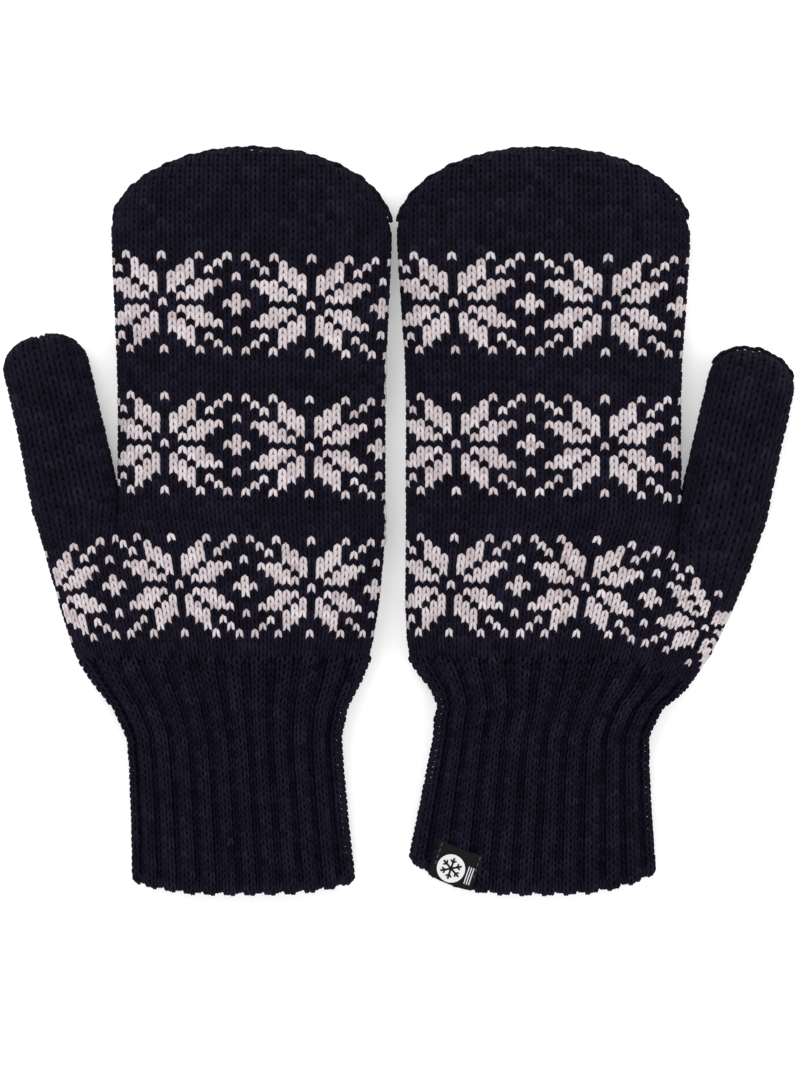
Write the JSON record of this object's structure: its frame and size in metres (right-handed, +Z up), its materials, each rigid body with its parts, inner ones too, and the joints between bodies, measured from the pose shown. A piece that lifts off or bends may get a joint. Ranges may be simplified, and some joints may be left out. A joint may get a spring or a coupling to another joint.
{
  "type": "knitted mittens",
  "caption": "Pair of knitted mittens with ribbed cuffs, separate thumbs and bands of star-flower colourwork, lying flat side by side.",
  "frame": {"origin": "middle of the pair on the surface it lies on", "axes": "+X across the pair towards the right mitten, +Y towards the fingertips, +Z up out of the surface"},
  "size_m": [0.2982, 0.2806, 0.022],
  "materials": {
    "main_knit": "matt knitted yarn",
    "rib_knit": "matt ribbed knitting",
    "contrast_yarn": "matt pale yarn",
    "seam_yarn": "matt linked yarn",
    "label_tape": "smooth woven tape",
    "label_thread": "slightly glossy thread"
  },
  "bodies": {
    "left_palm_body": {"left_palm": "main_knit", "left_palm_side_seam": "seam_yarn", "left_yarn_lower": "contrast_yarn"},
    "left_finger_body": {"left_fingers": "main_knit", "left_tip_seam": "seam_yarn", "left_finger_side_seam": "seam_yarn", "left_yarn_upper": "contrast_yarn", "left_yarn_middle": "contrast_yarn"},
    "left_thumb_body": {"left_thumb": "main_knit", "left_thumb_tip_seam": "seam_yarn", "left_thumb_join": "seam_yarn"},
    "left_cuff_body": {"left_cuff": "rib_knit", "left_cuff_hem": "rib_knit", "left_cuff_side_seam": "seam_yarn"},
    "right_palm_body": {"right_palm": "main_knit", "right_palm_side_seam": "seam_yarn", "right_yarn_lower": "contrast_yarn"},
    "right_finger_body": {"right_fingers": "main_knit", "right_tip_seam": "seam_yarn", "right_finger_side_seam": "seam_yarn", "right_yarn_upper": "contrast_yarn", "right_yarn_middle": "contrast_yarn"},
    "right_thumb_body": {"right_thumb": "main_knit", "right_thumb_tip_seam": "seam_yarn", "right_thumb_join": "seam_yarn"},
    "right_cuff_body": {"right_cuff": "rib_knit", "right_cuff_hem": "rib_knit", "right_cuff_side_seam": "seam_yarn", "right_label": "label_tape", "right_label_stitches": "label_thread"}
  },
  "joints": [
    {"name": "pair_apart", "type": "slide", "parent": "left_palm_body", "child": "right_palm_body", "axis": [1, 0, 0], "range_m": [0, 0.12]},
    {"name": "left_finger_fold", "type": "hinge", "parent": "left_palm_body", "child": "left_finger_body", "pos_m": [-0.05545, 0.00778, 0.022], "axis": [1, 0, 0], "range_deg": [0, 90]},
    {"name": "left_thumb_fold", "type": "hinge", "parent": "left_palm_body", "child": "left_thumb_body", "pos_m": [-0.12091, 0.0041, 0.019], "axis": [0.9728, 0.2317, 0], "range_deg": [0, 75]},
    {"name": "left_cuff_fold", "type": "hinge", "parent": "left_palm_body", "child": "left_cuff_body", "pos_m": [-0.06545, -0.05246, 0.022], "axis": [-1, 0, 0], "range_deg": [0, 80]},
    {"name": "right_finger_fold", "type": "hinge", "parent": "right_palm_body", "child": "right_finger_body", "pos_m": [0.05435, 0.00778, 0.022], "axis": [1, 0, 0], "range_deg": [0, 90]},
    {"name": "right_thumb_fold", "type": "hinge", "parent": "right_palm_body", "child": "right_thumb_body", "pos_m": [0.12141, 0.00405, 0.019], "axis": [0.9728, -0.2317, 0], "range_deg": [0, 75]},
    {"name": "right_cuff_fold", "type": "hinge", "parent": "right_palm_body", "child": "right_cuff_body", "pos_m": [0.06035, -0.05246, 0.022], "axis": [-1, 0, 0], "range_deg": [0, 80]}
  ]
}
